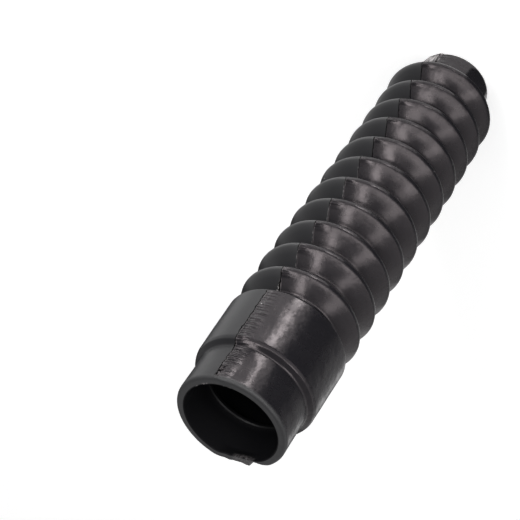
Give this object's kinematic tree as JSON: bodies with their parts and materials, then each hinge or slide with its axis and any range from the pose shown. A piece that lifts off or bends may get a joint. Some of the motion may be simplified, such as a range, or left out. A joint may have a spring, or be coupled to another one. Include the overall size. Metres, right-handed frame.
{
  "type": "fork gaiter",
  "caption": "Black rubber bellows sleeve for a motorbike fork leg, with a narrow cuff at one end and a stepped, wider cuff at the other.",
  "frame": {"origin": "centre of the narrow cuff's end face, on the sleeve's axis", "axes": "+Z along the sleeve towards the wide cuff, +X through the parting line that the picture shows"},
  "size_m": [0.0498, 0.0494, 0.2194],
  "materials": {
    "black_rubber": "moulded, satin"
  },
  "bodies": {
    "root": {"gaiter": "black_rubber"}
  },
  "joints": []
}
